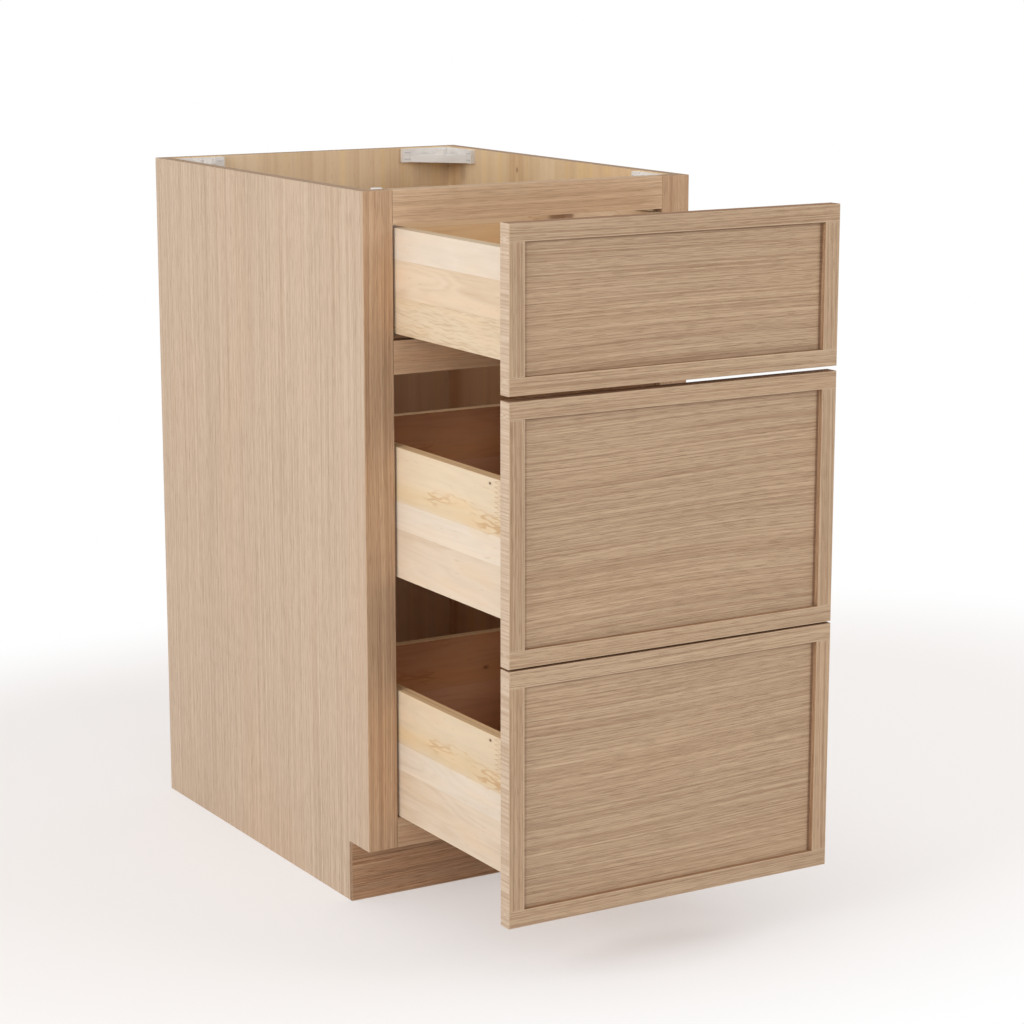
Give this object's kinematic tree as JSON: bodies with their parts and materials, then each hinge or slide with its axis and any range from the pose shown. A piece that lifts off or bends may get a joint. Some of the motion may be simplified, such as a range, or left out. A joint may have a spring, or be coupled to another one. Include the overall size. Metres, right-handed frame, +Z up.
{
  "type": "drawer base cabinet",
  "caption": "Face-frame base cabinet with full-overlay slim-frame drawer fronts, wooden drawer boxes on undermount full-extension runners, and an open top with moulded corner braces.",
  "frame": {"origin": "on the floor, at mid width, in the plane of the back panel that stands against the wall", "axes": "+Z up; +Y into the wall, so the drawers open towards -Y; +X to the right of a person facing the drawers"},
  "size_m": [0.4572, 0.908, 0.8763],
  "materials": {
    "side_veneer_ply": "satin clear lacquer, straight vertical grain",
    "frame_hardwood": "satin clear lacquer, grain along each member",
    "kick_veneer": "satin clear lacquer, grain across",
    "interior_ply": "clear lacquer, vertical grain",
    "plain_ply": "bare",
    "front_hardwood": "satin clear lacquer, grain along each member",
    "front_panel_veneer": "satin clear lacquer, grain across",
    "drawer_birch": "clear lacquer, glued staves, grain along each board",
    "drawer_bottom_ply": "clear lacquer",
    "runner_steel": "zinc plated",
    "clip_plastic": "moulded",
    "brace_plastic": "moulded, slightly translucent"
  },
  "bodies": {
    "root": {"back_panel": "interior_ply", "bottom_cabinet_runners": "runner_steel", "cabinet_floor": "interior_ply", "face_frame_bottom_rail": "frame_hardwood", "face_frame_left_stile": "frame_hardwood", "face_frame_middle_rail": "frame_hardwood", "face_frame_right_stile": "frame_hardwood", "face_frame_top_rail": "frame_hardwood", "front_left_corner_brace": "brace_plastic", "front_right_corner_brace": "brace_plastic", "left_side_panel": "side_veneer_ply", "middle_cabinet_runners": "runner_steel", "rear_left_corner_brace": "brace_plastic", "rear_right_corner_brace": "brace_plastic", "right_side_panel": "side_veneer_ply", "runner_cleats": "plain_ply", "toe_kick_board": "plain_ply", "toe_kick_facing": "kick_veneer", "top_cabinet_runners": "runner_steel"},
    "top_drawer": {"top_drawer_bottom": "drawer_bottom_ply", "top_drawer_box_back": "drawer_birch", "top_drawer_box_front": "drawer_birch", "top_drawer_front_left_stile": "front_hardwood", "top_drawer_front_lower_rail": "front_hardwood", "top_drawer_front_panel": "front_panel_veneer", "top_drawer_front_right_stile": "front_hardwood", "top_drawer_front_upper_rail": "front_hardwood", "top_drawer_left_side": "drawer_birch", "top_drawer_right_side": "drawer_birch", "top_drawer_runners": "runner_steel", "top_locking_clips": "clip_plastic"},
    "top_middle_slides": {"top_middle_runners": "runner_steel"},
    "middle_drawer": {"middle_drawer_bottom": "drawer_bottom_ply", "middle_drawer_box_back": "drawer_birch", "middle_drawer_box_front": "drawer_birch", "middle_drawer_front_left_stile": "front_hardwood", "middle_drawer_front_lower_rail": "front_hardwood", "middle_drawer_front_panel": "front_panel_veneer", "middle_drawer_front_right_stile": "front_hardwood", "middle_drawer_front_upper_rail": "front_hardwood", "middle_drawer_left_side": "drawer_birch", "middle_drawer_right_side": "drawer_birch", "middle_drawer_runners": "runner_steel", "middle_locking_clips": "clip_plastic"},
    "middle_middle_slides": {"middle_middle_runners": "runner_steel"},
    "bottom_drawer": {"bottom_drawer_bottom": "drawer_bottom_ply", "bottom_drawer_box_back": "drawer_birch", "bottom_drawer_box_front": "drawer_birch", "bottom_drawer_front_left_stile": "front_hardwood", "bottom_drawer_front_lower_rail": "front_hardwood", "bottom_drawer_front_panel": "front_panel_veneer", "bottom_drawer_front_right_stile": "front_hardwood", "bottom_drawer_front_upper_rail": "front_hardwood", "bottom_drawer_left_side": "drawer_birch", "bottom_drawer_right_side": "drawer_birch", "bottom_drawer_runners": "runner_steel", "bottom_locking_clips": "clip_plastic"},
    "bottom_middle_slides": {"bottom_middle_runners": "runner_steel"}
  },
  "joints": [
    {"name": "top_drawer_slide", "type": "slide", "parent": "root", "child": "top_drawer", "axis": [0, -1, 0], "range_m": [-0.2985, 0.2015]},
    {"name": "top_middle_slide", "type": "slide", "parent": "root", "child": "top_middle_slides", "axis": [0, -1, 0], "range_m": [-0.14925, 0.10075]},
    {"name": "middle_drawer_slide", "type": "slide", "parent": "root", "child": "middle_drawer", "axis": [0, -1, 0], "range_m": [-0.2985, 0.2015]},
    {"name": "middle_middle_slide", "type": "slide", "parent": "root", "child": "middle_middle_slides", "axis": [0, -1, 0], "range_m": [-0.14925, 0.10075]},
    {"name": "bottom_drawer_slide", "type": "slide", "parent": "root", "child": "bottom_drawer", "axis": [0, -1, 0], "range_m": [-0.2985, 0.2015]},
    {"name": "bottom_middle_slide", "type": "slide", "parent": "root", "child": "bottom_middle_slides", "axis": [0, -1, 0], "range_m": [-0.14925, 0.10075]}
  ],
  "couplings": [
    {"joint": "top_middle_slide", "follows": "top_drawer_slide", "ratio": 0.5},
    {"joint": "middle_middle_slide", "follows": "middle_drawer_slide", "ratio": 0.5},
    {"joint": "bottom_middle_slide", "follows": "bottom_drawer_slide", "ratio": 0.5}
  ]
}
